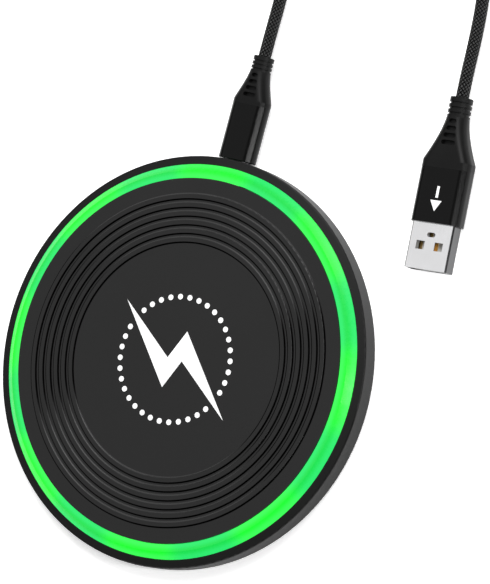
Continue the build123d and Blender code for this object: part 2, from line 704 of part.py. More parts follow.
with BuildPart() as port_contacts:
    for side in (1, -1):
        with BuildSketch(Plane.XY.offset(PORT_HEIGHT + side * TONGUE_SIZE[1] / 2)):
            with Locations((0, (TONGUE_ROOT + TONGUE_TIP) / 2)):
                with GridLocations(PIN_PITCH, 1, PIN_COUNT, 1):
                    Rectangle(0.25, TONGUE_TIP - TONGUE_ROOT - 1.0)
        extrude(amount=side * PIN_FILM)
port_contacts.part.label = "port_contacts"
export_step(port_contacts.part, "parts/port_contacts.step")

# ---------------------------------------------------------------- lead: USB-C plug
plug_c_front = upright_plane(0, PLUG_C_FACE, PORT_HEIGHT, 0)
plug_c_seam = upright_plane(0, PLUG_C_FACE + SLEEVE_C_LENGTH, PORT_HEIGHT, 0)
plug_c_level = flat_plane(0, PLUG_C_FACE + SLEEVE_C_LENGTH, PORT_HEIGHT, 0)
PLUG_C_BORE = (PLUG_C_SHELL[0] - 2 * PLUG_C_WALL, PLUG_C_SHELL[1] - 2 * PLUG_C_WALL)

with BuildPart() as plug_c_shell:
    with BuildSketch(plug_c_front.offset(-PLUG_C_REACH)):
        SlotOverall(*PLUG_C_SHELL)
        SlotOverall(*PLUG_C_BORE, mode=Mode.SUBTRACT)
    extrude(amount=PLUG_C_REACH + PLUG_C_BURIED)
    fillet(plug_c_shell.edges().group_by(Axis.Y)[0], radius=0.08)
plug_c_shell.part.label = "plug_c_shell"
export_step(plug_c_shell.part, "parts/plug_c_shell.step")

PLUG_C_TONGUE_ROOM = 5.2
PLUG_C_PIN_LENGTH = 4.6
PLUG_C_PIN_DEPTH = 0.14
with BuildPart() as plug_c_insulator:
    with BuildSketch(plug_c_front.offset(-PLUG_C_REACH + 0.1)):
        SlotOverall(PLUG_C_BORE[0] - SLIP_GAP, PLUG_C_BORE[1] - SLIP_GAP)
    extrude(amount=PLUG_C_REACH + 0.8)
    with BuildSketch(plug_c_front.offset(-PLUG_C_REACH + 0.1)):
        Rectangle(*PLUG_C_CAVITY)
    extrude(amount=PLUG_C_TONGUE_ROOM, mode=Mode.SUBTRACT)
    for side in (1, -1):
        with BuildSketch(Plane.XY.offset(PORT_HEIGHT + side * (PLUG_C_CAVITY[1] / 2 - 0.01))):
            with Locations((0, PLUG_C_FACE - PLUG_C_REACH + 0.7 + PLUG_C_PIN_LENGTH / 2)):
                with GridLocations(PIN_PITCH, 1, PIN_COUNT, 1):
                    Rectangle(0.24, PLUG_C_PIN_LENGTH)
        extrude(amount=side * PLUG_C_PIN_DEPTH, mode=Mode.SUBTRACT)
plug_c_insulator.part.label = "plug_c_insulator"
export_step(plug_c_insulator.part, "parts/plug_c_insulator.step")

with BuildPart() as plug_c_contacts:
    for side in (1, -1):
        with BuildSketch(Plane.XY.offset(PORT_HEIGHT + side * (PLUG_C_CAVITY[1] / 2 + 0.01))):
            with Locations((0, PLUG_C_FACE - PLUG_C_REACH + 0.7 + PLUG_C_PIN_LENGTH / 2)):
                with GridLocations(PIN_PITCH, 1, PIN_COUNT, 1):
                    Rectangle(0.20, PLUG_C_PIN_LENGTH - 2 * SLIP_GAP)
        extrude(amount=side * (PLUG_C_PIN_DEPTH - 0.04))
plug_c_contacts.part.label = "plug_c_contacts"
export_step(plug_c_contacts.part, "parts/plug_c_contacts.step")

with BuildPart() as plug_c_board:
    with BuildSketch(plug_c_front.offset(1.0)):
        Rectangle(6.6, 0.7)
    extrude(amount=12.0)
plug_c_board.part.label = "plug_c_board"
export_step(plug_c_board.part, "parts/plug_c_board.step")

with BuildPart() as plug_c_sleeve:
    with BuildSketch(plug_c_front):
        RectangleRounded(*SLEEVE_C)
    extrude(amount=SLEEVE_C_LENGTH)
    chamfer(plug_c_sleeve.edges().group_by(Axis.Y)[0], length=0.2)
    with BuildSketch(plug_c_front):
        SlotOverall(PLUG_C_SHELL[0] + SLIP_GAP, PLUG_C_SHELL[1] + SLIP_GAP)
    extrude(amount=SLEEVE_C_LENGTH, mode=Mode.SUBTRACT)
plug_c_sleeve.part.label = "plug_c_sleeve"
export_step(plug_c_sleeve.part, "parts/plug_c_sleeve.step")

plug_c_relief = strain_relief(
    plug_c_seam,
    plug_c_level,
    sections=[(1.2, 10.8, 5.8, 2.85), (3.7, 8.9, 5.7, 2.8), (6.2, 7.1, 5.5, 2.7), (9.2, 5.6, 5.2, 2.55)],
    length=RELIEF_C_LENGTH,
    slots=[(2.6, 3.7, 1.1, 1.7), (4.4, 3.3, 1.1, 1.7), (6.2, 2.5, 1.1, 1.7), (8.0, 1.8, 1.1, 1.7)],
    grooves=[(9.8, 0.45, 0.35), (10.9, 0.45, 0.35), (12.0, 0.45, 0.35)],
)
plug_c_relief.part.label = "plug_c_relief"
export_step(plug_c_relief.part, "parts/plug_c_relief.step")

# ---------------------------------------------------------------- lead: USB-A plug
PLUG_A_HEIGHT = SLEEVE_A[1] / 2
plug_a_front = upright_plane(*PLUG_A_FACE, PLUG_A_HEIGHT, PLUG_A_TURN)
PLUG_A_SEAM = (
    PLUG_A_FACE[0] - SLEEVE_A_LENGTH * sin(radians(PLUG_A_TURN)),
    PLUG_A_FACE[1] + SLEEVE_A_LENGTH * cos(radians(PLUG_A_TURN)),
)
plug_a_seam = upright_plane(*PLUG_A_SEAM, PLUG_A_HEIGHT, PLUG_A_TURN)
plug_a_level = flat_plane(*PLUG_A_SEAM, PLUG_A_HEIGHT, PLUG_A_TURN)
plug_a_flat = flat_plane(*PLUG_A_FACE, PLUG_A_HEIGHT, PLUG_A_TURN)
PLUG_A_BORE = (PLUG_A_SHELL[0] - 2 * PLUG_A_WALL, PLUG_A_SHELL[1] - 2 * PLUG_A_WALL)

# Folded steel shell: two square windows and one small keying slot in each broad face.
with BuildPart() as plug_a_shell:
    with BuildSketch(plug_a_front.offset(-PLUG_A_REACH)):
        RectangleRounded(*PLUG_A_SHELL, PLUG_A_CORNER)
        RectangleRounded(*PLUG_A_BORE, PLUG_A_CORNER - PLUG_A_WALL, mode=Mode.SUBTRACT)
    extrude(amount=PLUG_A_REACH + PLUG_A_BURIED)
    with BuildSketch(plug_a_flat.offset(-PLUG_A_HEIGHT)):
        with Locations((-2.6, -5.9), (2.6, -5.9)):
            Rectangle(2.3, 2.2)
    extrude(amount=2 * PLUG_A_HEIGHT, mode=Mode.SUBTRACT)
    with BuildSketch(plug_a_flat):
        with Locations((0, -3.0)):
            SlotOverall(2.3, 1.2)
    extrude(amount=PLUG_A_HEIGHT, mode=Mode.SUBTRACT)
plug_a_shell.part.label = "plug_a_shell"
export_step(plug_a_shell.part, "parts/plug_a_shell.step")

# Plastic tongue in the shell's lower half, with a full-height root inside the sleeve.
TONGUE_A_HEIGHT = 1.9
TONGUE_A_ROOT = 5.0
TONGUE_A_WIDTH = PLUG_A_BORE[0] - 2 * SLIP_GAP
TONGUE_A_LOW = -PLUG_A_BORE[1] / 2 + SLIP_GAP
with BuildPart() as plug_a_tongue:
    with BuildSketch(plug_a_front.offset(-PLUG_A_REACH + 0.4)):
        with Locations((0, TONGUE_A_LOW + TONGUE_A_HEIGHT / 2)):
            Rectangle(TONGUE_A_WIDTH - 0.3, TONGUE_A_HEIGHT)
    extrude(amount=PLUG_A_REACH + TONGUE_A_ROOT)
    with BuildSketch(plug_a_front.offset(0.3)):
        Rectangle(TONGUE_A_WIDTH - 0.3, PLUG_A_BORE[1] - 2 * SLIP_GAP)
    extrude(amount=TONGUE_A_ROOT)
plug_a_tongue.part.label = "plug_a_tongue"
export_step(plug_a_tongue.part, "parts/plug_a_tongue.step")

# Four flat contacts: the outer pair, for power, reaches further forward.
with BuildPart() as plug_a_contacts:
    with BuildSketch(plug_a_flat.offset(TONGUE_A_LOW + TONGUE_A_HEIGHT)):
        for contact_x, tip in ((-3.5, 10.9), (-1.0, 9.9), (1.0, 9.9), (3.5, 10.9)):
            with Locations((contact_x, -tip / 2)):
                Rectangle(1.0, tip - 0.2)
    extrude(amount=0.12)
plug_a_contacts.part.label = "plug_a_contacts"
export_step(plug_a_contacts.part, "parts/plug_a_contacts.step")

with BuildPart() as plug_a_sleeve:
    with BuildSketch(plug_a_front):
        RectangleRounded(*SLEEVE_A)
        RectangleRounded(
            PLUG_A_SHELL[0] + 2 * SLIP_GAP,
            PLUG_A_SHELL[1] + 2 * SLIP_GAP,
            PLUG_A_CORNER + SLIP_GAP,
            mode=Mode.SUBTRACT,
        )
    extrude(amount=SLEEVE_A_LENGTH)
plug_a_sleeve.part.label = "plug_a_sleeve"
export_step(plug_a_sleeve.part, "parts/plug_a_sleeve.step")

# Inner moulding that grips the wires behind the shell.
with BuildPart() as plug_a_core:
    with BuildSketch(plug_a_front.offset(PLUG_A_BURIED + SLIP_GAP)):
        RectangleRounded(PLUG_A_SHELL[0] - FIT_GAP, PLUG_A_SHELL[1] - FIT_GAP, PLUG_A_CORNER)
    extrude(amount=SLEEVE_A_LENGTH - PLUG_A_BURIED - SLIP_GAP)
plug_a_core.part.label = "plug_a_core"
export_step(plug_a_core.part, "parts/plug_a_core.step")

# Printed arrow that shows which side is up and which way the plug goes in.
with BuildPart() as plug_a_mark:
    with BuildSketch(plug_a_flat.offset(PLUG_A_HEIGHT)):
        with BuildLine():
            Polyline((-1.6, 5.8), (0, 3.0), (1.6, 5.8), close=True)
        make_face()
        with Locations((0, 8.0)):
            Rectangle(0.7, 3.0)
    extrude(amount=MARK_FILM)
plug_a_mark.part.label = "plug_a_mark"
export_step(plug_a_mark.part, "parts/plug_a_mark.step")

plug_a_relief = strain_relief(
    plug_a_seam,
    plug_a_level,
    sections=[(2.0, 13.8, 6.8, 2.6), (5.0, 11.0, 6.6, 2.6), (9.0, 7.9, 6.2, 2.6), (13.6, 5.9, 5.6, 2.6)],
    length=RELIEF_A_LENGTH,
    slots=[(6.7, 3.9, 1.2, 2.0), (8.6, 3.5, 1.2, 2.0), (10.5, 2.8, 1.2, 2.0), (12.4, 2.1, 1.2, 2.0)],
    grooves=[(14.5, 0.6, 0.35), (15.9, 0.6, 0.35), (17.3, 0.6, 0.35)],
)
plug_a_relief.part.label = "plug_a_relief"
export_step(plug_a_relief.part, "parts/plug_a_relief.step")

# ---------------------------------------------------------------- lead: cable
cable_lead, lead_length = cord_tube(LEAD_ROUTE, "cable_lead")
cable_lead.part.label = "cable_lead"
export_step(cable_lead.part, "parts/cable_lead.step")

cable_tail, tail_length = cord_tube(TAIL_ROUTE, "cable_tail")
cable_tail.part.label = "cable_tail"
export_step(cable_tail.part, "parts/cable_tail.step")

# The rest of the cable, wound in two flat layers: one solid of the coil's outer shape.
hank_axis = Axis((*HANK_CENTRE, 0), (0, 0, 1))
HANK_EDGES = (HANK_INNER - CABLE_DIAMETER / 2, HANK_OUTER + CABLE_DIAMETER / 2)
with BuildPart() as cable_coil:
    with BuildSketch(radial_plane(HANK_CENTRE, 0)):
        with Locations(((HANK_EDGES[0] + HANK_EDGES[1]) / 2, HANK_HEIGHT / 2)):
            RectangleRounded(HANK_EDGES[1] - HANK_EDGES[0], HANK_HEIGHT, HANK_ROUNDING)
    revolve(axis=hank_axis)
    notch_spread = TIE_SPREAD + 4
    with BuildSketch(radial_plane(HANK_CENTRE, TIE_ANGLE - notch_spread / 2)):
        with Locations(((HANK_EDGES[0] + HANK_EDGES[1]) / 2, 0)):
            Rectangle(HANK_EDGES[1] - HANK_EDGES[0] + 2, 2 * (TIE_LIFT + TIE_GAP / 2))
    revolve(axis=hank_axis, revolution_arc=notch_spread, mode=Mode.SUBTRACT)
cable_coil.part.label = "cable_coil"
export_step(cable_coil.part, "parts/cable_coil.step")

hank_length = HANK_TURNS * pi * (HANK_INNER + HANK_OUTER)
whole_length = lead_length + tail_length + hank_length
print("cable length", round(whole_length, 1), "of", CABLE_LENGTH)

# Hook-and-loop tie round one side of the coil.
TIE_HOLE = (HANK_EDGES[1] - HANK_EDGES[0] + 2 * TIE_GAP, HANK_HEIGHT + 2 * TIE_GAP)
TIE_MIDDLE = ((HANK_EDGES[0] + HANK_EDGES[1]) / 2, TIE_LIFT + HANK_HEIGHT / 2)
with BuildPart() as cable_tie:
    with BuildSketch(radial_plane(HANK_CENTRE, TIE_ANGLE - TIE_SPREAD / 2)):
        with Locations(TIE_MIDDLE):
            RectangleRounded(TIE_HOLE[0] + 2 * TIE_THICKNESS, TIE_HOLE[1] + 2 * (TIE_LIFT - TIE_GAP), 2.0)
            RectangleRounded(TIE_HOLE[0], TIE_HOLE[1], 0.4, mode=Mode.SUBTRACT)
    revolve(axis=hank_axis, revolution_arc=TIE_SPREAD)
cable_tie.part.label = "cable_tie"
export_step(cable_tie.part, "parts/cable_tie.step")
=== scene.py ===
import bpy
import bmesh
import math
from mathutils import Matrix, Quaternion, Vector


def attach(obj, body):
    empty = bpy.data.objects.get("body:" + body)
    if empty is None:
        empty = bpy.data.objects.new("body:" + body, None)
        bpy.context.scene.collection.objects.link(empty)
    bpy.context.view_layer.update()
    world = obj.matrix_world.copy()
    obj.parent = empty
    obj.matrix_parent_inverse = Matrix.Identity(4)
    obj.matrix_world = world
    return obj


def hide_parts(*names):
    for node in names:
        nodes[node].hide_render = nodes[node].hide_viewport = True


# Looks for a round wireless charging pad with a lit ring, a braided lead and its USB-A plug.
# +Z is up, the pad stands at the origin and its port faces +Y. The scene is in metres. Sizes
# named below are in millimetres where the object is concerned, and are multiplied by MM.
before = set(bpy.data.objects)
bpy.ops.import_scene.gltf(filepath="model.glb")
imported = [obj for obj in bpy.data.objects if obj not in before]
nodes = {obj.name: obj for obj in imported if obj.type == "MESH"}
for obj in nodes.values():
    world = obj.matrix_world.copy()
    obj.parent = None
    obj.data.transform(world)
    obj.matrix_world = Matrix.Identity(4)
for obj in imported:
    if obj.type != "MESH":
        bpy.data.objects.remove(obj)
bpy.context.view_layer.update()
MM = 0.001
scene = bpy.context.scene
scene.view_settings.view_transform = "Standard"

# ---------------------------------------------------------------- camera
CAMERA_PLACE = Vector((0.42352, 0.0, 0.72720))
CAMERA_AIM = Vector((0.01498, 0.02191, 0.0082))
CAMERA_LEAN = math.radians(14.85)
CAMERA_LENS = 195.1
CAMERA_SENSOR = 36.0
CAMERA_SHIFT = (0.0018, -0.0018)    # shares of the picture's longer side


def make_camera():
    """A long lens on the pad's right side, leaning so that the port points up and to the right."""
    data = bpy.data.cameras.new("camera")
    data.lens = CAMERA_LENS
    data.sensor_width = CAMERA_SENSOR
    data.shift_x, data.shift_y = CAMERA_SHIFT
    data.clip_start = 0.01
    data.clip_end = 20.0
    camera = bpy.data.objects.new("camera", data)
    scene.collection.objects.link(camera)
    back = (CAMERA_PLACE - CAMERA_AIM).normalized()
    up = Vector((0, 1, 0))
    up -= up.project(back)
    up.normalize()
    up.rotate(Quaternion(back, CAMERA_LEAN))
    right = up.cross(back)
    turn = Matrix((right, up, back)).transposed().to_4x4()
    camera.matrix_world = Matrix.Translation(CAMERA_PLACE) @ turn
    scene.camera = camera


make_camera()

# ---------------------------------------------------------------- cable route
CABLE_DIAMETER = 3.5
CABLE_LOW = 1.76            # height of the cable's middle where it lies on the table
ROUTE_RESOLUTION = 12       # points read from the curve for each point of the route
COIL_CENTRE = (27.0, 148.0)
COIL_TURNS = 6.5
COIL_INNER = 15.15          # radius of the innermost turn's middle
COIL_PITCH = 3.6
COIL_LAYER = 3.54           # height of the upper layer above the lower
COIL_POINTS = 16            # route points in each turn
COIL_CLIMB = 0.25           # turns either side of the middle, where the cable changes layer
TIE_ANGLE = 90.0            # bearing of the strap from the coil's centre, in degrees
TIE_LIFT = 0.75             # how far the turns are lifted by the strap under them
TIE_LIFT_FULL = 24.0        # degrees either side of the strap
TIE_LIFT_NONE = 60.0
# A curve of this order runs inside its points, so the coil's points stand out by this much.
COIL_SWELL = 1 / math.cos(math.pi / COIL_POINTS)

LEAD_ROUTE = [
    (0.0, 83.55, 3.3),
    (0.0, 90.0, 3.3),
    (-0.4, 98.5, 2.35),
    (-0.9, 109.5, CABLE_LOW),
    (-1.2, 121.5, CABLE_LOW),
    (-0.7, 135.5, CABLE_LOW),
    (0.15, 148.0, CABLE_LOW),
]
TAIL_ROUTE = [
    (53.85, 148.0, 5.3),
    (54.2, 138.5, 5.2),
    (55.4, 127.5, 3.9),
    (56.9, 116.5, 2.2),
    (58.0, 106.0, CABLE_LOW),
    (58.9, 96.5, 2.5),
    (59.507, 88.906, 3.4),
    (59.891, 83.419, 3.4),
]


def smooth(value, low, high):
    """0 below low, 1 above high and an even S between them."""
    share = min(1.0, max(0.0, (value - low) / (high - low)))
    return share * share * (3 - 2 * share)


def coil_route():
    """Two flat layers of turns: inwards along the floor, then outwards on top of them."""
    points = []
    middle = COIL_TURNS / 2
    for step in range(1, round(COIL_TURNS * COIL_POINTS)):
        turn = step / COIL_POINTS
        angle = 180 - 360 * turn
        radius = (COIL_INNER + COIL_PITCH * abs(turn - middle)) * COIL_SWELL
        from_tie = abs((angle - TIE_ANGLE + 180) % 360 - 180)
        lift = TIE_LIFT * (1 - smooth(from_tie, TIE_LIFT_FULL, TIE_LIFT_NONE))
        layer = COIL_LAYER * smooth(turn, middle - COIL_CLIMB, middle + COIL_CLIMB)
        points.append((
            COIL_CENTRE[0] + radius * math.cos(math.radians(angle)),
            COIL_CENTRE[1] + radius * math.sin(math.radians(angle)),
            CABLE_LOW + lift + layer,
        ))
    return points


def route_line(points):
    """The points of one smooth line through the route, read from a curve with no bevel."""
    curve = bpy.data.curves.new("route", "CURVE")
    curve.dimensions = "3D"
    spline = curve.splines.new("NURBS")
    spline.points.add(len(points) - 1)
    for point, place in zip(spline.points, points):
        point.co = (place[0] * MM, place[1] * MM, place[2] * MM, 1.0)
    spline.order_u = 3
    spline.use_endpoint_u = True
    spline.resolution_u = ROUTE_RESOLUTION
    holder = bpy.data.objects.new("route", curve)
    scene.collection.objects.link(holder)
    mesh = bpy.data.meshes.new_from_object(holder)
    line = [vertex.co.copy() for vertex in mesh.vertices]
    bpy.data.objects.remove(holder)
    bpy.data.meshes.remove(mesh)
    return line


# ---------------------------------------------------------------- materials
class Graph:
    """A short way to write a shader: each call adds nodes and gives back an output."""

    def __init__(self, name):
        self.material = bpy.data.materials.new(name)
        self.material.use_nodes = True
        self.tree = self.material.node_tree
        self.shader = self.tree.nodes["Principled BSDF"]

    def put(self, socket, value):
        if isinstance(value, bpy.types.NodeSocket):
            self.tree.links.new(value, socket)
        elif isinstance(value, tuple) and len(value) == 3 and len(socket.default_value) == 4:
            socket.default_value = (*value, 1.0)
        else:
            socket.default_value = value

    def set(self, **values):
        for key, value in values.items():
            self.put(self.shader.inputs[key.replace("_", " ")], value)
        return self.material

    def place(self):
        return self.tree.nodes.new("ShaderNodeTexCoord").outputs["Object"]

    def normal(self):
        return self.tree.nodes.new("ShaderNodeTexCoord").outputs["Normal"]

    def unwrapped(self, layer):
        node = self.tree.nodes.new("ShaderNodeUVMap")
        node.uv_map = layer
        return node.outputs["UV"]

    def split(self, vector):
        node = self.tree.nodes.new("ShaderNodeSeparateXYZ")
        self.put(node.inputs[0], vector)
        return node.outputs

    def join(self, x, y, z):
        node = self.tree.nodes.new("ShaderNodeCombineXYZ")
        for socket, value in zip(node.inputs, (x, y, z)):
            self.put(socket, value)
        return node.outputs[0]

    def math(self, kind, *values):
        node = self.tree.nodes.new("ShaderNodeMath")
        node.operation = kind
        for socket, value in zip(node.inputs, values):
            self.put(socket, value)
        return node.outputs[0]

    def noise(self, vector, scale, detail=3.0, roughness=0.55):
        node = self.tree.nodes.new("ShaderNodeTexNoise")
        self.put(node.inputs["Vector"], vector)
        node.inputs["Scale"].default_value = scale
        node.inputs["Detail"].default_value = detail
        node.inputs["Roughness"].default_value = roughness
        return node.outputs["Fac"]

    def cells(self, vector, scale):
        node = self.tree.nodes.new("ShaderNodeTexVoronoi")
        self.put(node.inputs["Vector"], vector)
        node.inputs["Scale"].default_value = scale
        return node.outputs["Distance"]

    def ramp(self, value, low, high, out_low=0.0, out_high=1.0):
        node = self.tree.nodes.new("ShaderNodeMapRange")
        node.interpolation_type = "SMOOTHSTEP"
        for socket, number in zip(node.inputs, (value, low, high, out_low, out_high)):
            self.put(socket, number)
        return node.outputs[0]

    def mix(self, factor, first, second):
        node = self.tree.nodes.new("ShaderNodeMix")
        node.data_type = "RGBA"
        self.put(node.inputs[0], factor)
        self.put(node.inputs[6], first)
        self.put(node.inputs[7], second)
        return node.outputs[2]

    def bump(self, height, distance, strength=1.0, after=None):
        node = self.tree.nodes.new("ShaderNodeBump")
        node.inputs["Distance"].default_value = distance
        node.inputs["Strength"].default_value = strength
        self.put(node.inputs["Height"], height)
        if after is not None:
            self.put(node.inputs["Normal"], after)
        return node.outputs[0]


GRAIN_DEPTH = 0.00002       # of a moulded surface, in metres
PLATING_DEPTH = 0.000004    # of the scratches in plating, in metres
ZONE_START = 4.0            # bearing of the middle of a bright zone, in degrees
ZONE_PITCH = 45.0
RING_BREAK = 50.7           # radius where the lit ring's land turns into its bevel
BAND_HALF = 1.5             # half the width of the deeper band round that break
BAND_CORE = 0.1             # half the width of its even middle
RIB_COUNT = 6
FIRST_RIB = 32.0            # radius of the innermost rib's middle
RIB_PITCH = 2.33
RIB_WIDTH = 1.6
LINE_OFFSET = -0.04         # middle of the line at a rib's side, outwards from that side
LINE_HALF = 0.19
LINE_BLUR = 0.06
PLUS_Y_STARTS = 0.35        # how squarely a rib's side faces +Y: the dark line of painted shade starts to fade
PLUS_Y_FULL = 0.75          # and here it has become the pale line of painted highlight
# Colours of the painted shade line along the ribs' sides and of the painted highlight on the sides
# that face +Y.
SHADE_LINE_COLOR = (0.0005, 0.0005, 0.0005)
HIGHLIGHT_LINE_COLOR = (0.030, 0.030, 0.030)
WEAVE_PITCH = 0.45


def tint(color, factor):
    return tuple(min(1.0, channel * factor) for channel in color)


def moulded(name, color, roughness, grain=7000.0, specular=0.5, spread=0.2):
    """Moulded plastic or rubber: spark-eroded grain, faint mottling and an uneven sheen."""
    g = Graph(name)
    place = g.place()
    fine = g.noise(place, grain, 4.0)
    broad = g.noise(place, 60.0)
    blotch = g.ramp(g.math("MULTIPLY_ADD", fine, 0.5, g.math("MULTIPLY", broad, 0.5)), 0.3, 0.7)
    return g.set(
        Base_Color=g.mix(blotch, tint(color, 1 - spread), tint(color, 1 + spread)),
        Roughness=g.ramp(broad, 0.3, 0.7, roughness - 0.04, roughness + 0.04),
        Specular_IOR_Level=specular,
        Normal=g.bump(fine, GRAIN_DEPTH, 0.5),
    )


def ribbed_mat(name, color, roughness, specular):
    """Moulded silicone with a line painted along each side of the ribs.

    The line is dark and matt: painted shade at the foot of each side. On the sides that face +Y it
    is pale instead:
    a painted highlight that stands for a soft light from that side and is not a property of the
    silicone.
    """
    g = Graph(name)
    place = g.place()
    x, y, z = g.split(place)[:3]
    fine = g.noise(place, 7000.0, 4.0)
    broad = g.noise(place, 60.0)
    blotch = g.ramp(g.math("MULTIPLY_ADD", fine, 0.5, g.math("MULTIPLY", broad, 0.5)), 0.3, 0.7)
    radius = g.math("SQRT", g.math("MULTIPLY_ADD", x, x, g.math("MULTIPLY", y, y)))
    inner = g.math("SUBTRACT", radius, (FIRST_RIB - RIB_PITCH / 2) * MM)
    count = g.math("MULTIPLY", inner, 1 / (RIB_PITCH * MM))
    from_crest = g.math("SUBTRACT", g.math("FRACT", count), 0.5)
    from_middle = g.math("MULTIPLY", g.math("ABSOLUTE", from_crest), RIB_PITCH)
    from_line = g.math("SUBTRACT", from_middle, RIB_WIDTH / 2 + LINE_OFFSET)
    after_first = g.math("GREATER_THAN", count, 0.0)
    before_last = g.math("LESS_THAN", count, float(RIB_COUNT))
    on_ribs = g.math("MULTIPLY", after_first, before_last)
    near = g.ramp(g.math("ABSOLUTE", from_line), LINE_HALF + LINE_BLUR, LINE_HALF - LINE_BLUR)
    line = g.math("MULTIPLY", near, on_ribs)
    plus_y = g.math("DIVIDE", y, g.math("MAXIMUM", radius, MM))
    facing = g.math("MULTIPLY", g.math("SIGN", from_crest), plus_y)
    lit = g.ramp(facing, PLUS_Y_STARTS, PLUS_Y_FULL)
    # Painted shade along each side of a rib, darker and less glossy, and a painted highlight on
    # the sides that face +Y.
    shade_line = g.math("MULTIPLY", line, g.math("SUBTRACT", 1.0, lit))
    highlight_line = g.math("MULTIPLY", line, lit)
    skin = g.mix(blotch, tint(color, 0.88), tint(color, 1.12))
    skin = g.mix(highlight_line, skin, HIGHLIGHT_LINE_COLOR)
    return g.set(
        Base_Color=g.mix(shade_line, skin, SHADE_LINE_COLOR),
        Roughness=g.ramp(broad, 0.3, 0.7, roughness - 0.04, roughness + 0.04),
        Specular_IOR_Level=g.ramp(shade_line, 0.0, 1.0, specular, 0.02),
        Normal=g.bump(fine, GRAIN_DEPTH, 0.5),
    )


def metal(name, color, roughness, stretch=(1.0, 1.0, 1.0)):
    """Plated or drawn metal: fine directional scratches and a faint tarnish."""
    g = Graph(name)
    axes = g.split(g.place())[:3]
    drawn = g.join(*(g.math("MULTIPLY", axis, factor) for axis, factor in zip(axes, stretch)))
    scratches = g.noise(drawn, 2600.0, 5.0, 0.6)
    cloud = g.noise(g.place(), 130.0)
    return g.set(
        Base_Color=g.mix(g.ramp(cloud, 0.3, 0.7), tint(color, 0.9), tint(color, 1.06)),
        Metallic=1.0,
        Roughness=g.ramp(scratches, 0.3, 0.7, max(0.04, roughness - 0.05), roughness + 0.06),
        Normal=g.bump(scratches, PLATING_DEPTH, 0.4),
    )


def lacquer(name, color, roughness, specular):
    """Dark anodising or lacquer on metal: fine orange peel and a little dust."""
    g = Graph(name)
    place = g.place()
    peel = g.noise(place, 650.0, 2.0)
    dust = g.noise(place, 5200.0)
    return g.set(
        Base_Color=g.mix(dust, tint(color, 0.75), tint(color, 1.25)),
        Roughness=g.ramp(dust, 0.3, 0.7, roughness - 0.04, roughness + 0.05),
        Specular_IOR_Level=specular,
        Normal=g.bump(peel, 0.000006, 0.3),
    )


def folded_shell(name, face, side):
    """Bright-plated steel, with darker narrow sides and a dark line of painted shade along each
    fold.

    The darker sides stand for reflections in the photograph: the real plating is all one.
    """
    g = Graph(name)
    x, y, z = g.split(g.place())[:3]
    grain = g.noise(g.join(x, g.math("MULTIPLY", y, 0.05), z), 2600.0, 5.0, 0.6)
    level = g.math("ABSOLUTE", g.split(g.normal())[2])
    sideways = g.ramp(level, 0.75, 0.35)
    # A dark line of painted shade where the plating bends round a fold.
    fold = g.math("MULTIPLY", g.ramp(level, 0.05, 0.3), g.ramp(level, 0.99, 0.9))
    cloud = g.ramp(g.noise(g.place(), 130.0), 0.3, 0.7)
    plain = g.mix(sideways, g.mix(cloud, tint(face, 0.94), face), side)
    return g.set(
        Base_Color=g.mix(fold, plain, tint(side, 0.25)),
        Metallic=1.0,
        Roughness=g.ramp(grain, 0.3, 0.7, 0.10, 0.20),
        Normal=g.bump(grain, PLATING_DEPTH, 0.4),
    )


def lit_ring(name):
    """Green diffuser: eight bright zones, eight deeper ones over the LEDs, and a deep band
    where the flat land turns into the bevel."""
    g = Graph(name)
    x, y, z = g.split(g.place())[:3]
    bearing = g.math("DEGREES", g.math("ARCTAN2", y, x))
    turned = g.math("SUBTRACT", bearing, ZONE_START)
    sweep = g.math("FRACT", g.math("MULTIPLY", turned, 1 / ZONE_PITCH))
    nearness = g.math("MULTIPLY", g.math("ABSOLUTE", g.math("SUBTRACT", sweep, 0.5)), 2.0)
    zone = g.ramp(nearness, 0.30, 0.66)
    radius = g.math("SQRT", g.math("MULTIPLY_ADD", x, x, g.math("MULTIPLY", y, y)))
    from_break = g.math("ABSOLUTE", g.math("SUBTRACT", radius, RING_BREAK * MM))
    band = g.ramp(from_break, BAND_HALF * MM, BAND_CORE * MM)
    haze = g.noise(g.place(), 900.0)
    face = g.mix(zone, (0.020, 0.790, 0.150), (0.040, 0.985, 0.088))
    deep = g.mix(zone, (0.004, 0.700, 0.070), (0.006, 0.950, 0.020))
    glow = g.mix(band, face, deep)
    glow = g.mix(g.ramp(haze, 0.2, 0.8, 0.0, 0.06), glow, (0.0, 0.75, 0.08))
    return g.set(
        Base_Color=(0.010, 0.070, 0.018),
        Roughness=g.ramp(haze, 0.3, 0.7, 0.24, 0.32),
        Specular_IOR_Level=0.2,
        Emission_Color=glow,
        Emission_Strength=1.0,
        Normal=g.bump(haze, 0.000008, 0.2),
    )


def printed(name, color):
    """Screen-printed ink: thin spots, a little orange peel and a satin surface."""
    g = Graph(name)
    place = g.place()
    grain = g.noise(place, 3500.0, 4.0)
    thin = g.ramp(g.noise(place, 420.0), 0.25, 0.45)
    return g.set(
        Base_Color=g.mix(thin, tint(color, 0.93), color),
        Roughness=g.ramp(grain, 0.3, 0.7, 0.45, 0.6),
        Normal=g.bump(grain, 0.00001, 0.4),
    )


def circuit_board(name, mask, track):
    """Solder mask with parallel tracks, vias and pads showing through it."""
    g = Graph(name)
    place = g.place()
    x, y, z = g.split(place)[:3]
    lanes = g.ramp(g.math("PINGPONG", g.math("MULTIPLY", x, 900.0), 0.5), 0.2, 0.3)
    patch = g.ramp(g.cells(place, 150.0), 0.45, 0.5)
    vias = g.ramp(g.cells(place, 420.0), 0.16, 0.12)
    copper = g.math("MAXIMUM", g.math("MULTIPLY", lanes, patch), vias)
    return g.set(
        Base_Color=g.mix(copper, mask, track),
        Roughness=g.ramp(g.noise(place, 900.0), 0.3, 0.7, 0.28, 0.4),
        Normal=g.bump(copper, 0.00003, 0.6),
    )


